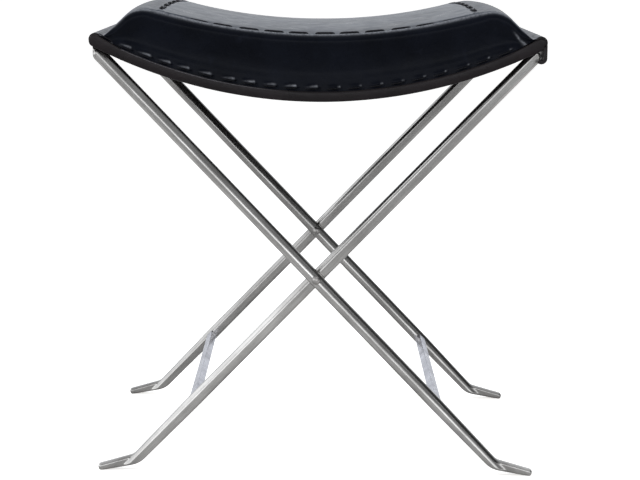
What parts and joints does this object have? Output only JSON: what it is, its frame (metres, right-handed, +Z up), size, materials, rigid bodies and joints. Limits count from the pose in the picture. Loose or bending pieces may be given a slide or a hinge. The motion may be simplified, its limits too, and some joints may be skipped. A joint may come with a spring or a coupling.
{
  "type": "folding stool",
  "caption": "Folding X frame stool: pinned steel bar frames with turned-out toes, carrying a curved black leather seat with a padded, stitched saddle cushion.",
  "frame": {"origin": "on the floor under the middle of the seat", "axes": "+Z up, +Y from the front of the stool to its back, +X to the right seen from the front"},
  "size_m": [0.4784, 0.384, 0.502],
  "materials": {
    "bar_steel": "brushed, softly rounded edges",
    "rivet_steel": "worn, darker than the bars",
    "seat_leather": "smooth, semi-gloss, blue-black",
    "base_leather": "smooth saddle leather, brown-black edge",
    "thread": "waxed black thread",
    "foam": "open foam, hidden"
  },
  "bodies": {
    "pivots": {"front_pivot_rivet": "rivet_steel", "rear_pivot_rivet": "rivet_steel", "front_pivot_spacer": "rivet_steel", "rear_pivot_spacer": "rivet_steel"},
    "frame_a": {"front_leg_a": "bar_steel", "rear_leg_a": "bar_steel", "top_rail_a": "bar_steel", "stretcher_a": "bar_steel", "left_rail_sleeve": "base_leather"},
    "frame_b": {"front_leg_b": "bar_steel", "rear_leg_b": "bar_steel", "top_rail_b": "bar_steel", "stretcher_b": "bar_steel", "right_rail_sleeve": "base_leather"},
    "seat": {"seat_base": "base_leather", "cushion_foam": "foam", "top_panel": "seat_leather", "front_panel": "seat_leather", "rear_panel": "seat_leather", "left_end_panel": "seat_leather", "right_end_panel": "seat_leather", "front_base_stitches": "thread", "rear_base_stitches": "thread", "front_top_stitches": "thread", "rear_top_stitches": "thread", "left_end_lacing": "thread", "right_end_lacing": "thread"}
  },
  "joints": [
    {"name": "fold_a", "type": "hinge", "parent": "pivots", "child": "frame_a", "pos_m": [0, 0, 0.213], "axis": [0, 1, 0], "range_deg": [0, 27]},
    {"name": "fold_b", "type": "hinge", "parent": "pivots", "child": "frame_b", "pos_m": [0, 0, 0.213], "axis": [0, 1, 0], "range_deg": [-27, 0]},
    {"name": "seat_lift", "type": "slide", "parent": "pivots", "child": "seat", "axis": [0, 0, 1], "range_m": [0, 0.078], "deforming": ["seat_base", "cushion_foam", "top_panel", "front_panel", "rear_panel", "left_end_panel", "right_end_panel", "front_base_stitches", "rear_base_stitches", "front_top_stitches", "rear_top_stitches", "left_end_lacing", "right_end_lacing"]}
  ],
  "couplings": [
    {"joint": "fold_b", "follows": "fold_a", "ratio": -1},
    {"joint": "seat_lift", "follows": "fold_a", "m_per_rad": 0.16552}
  ]
}
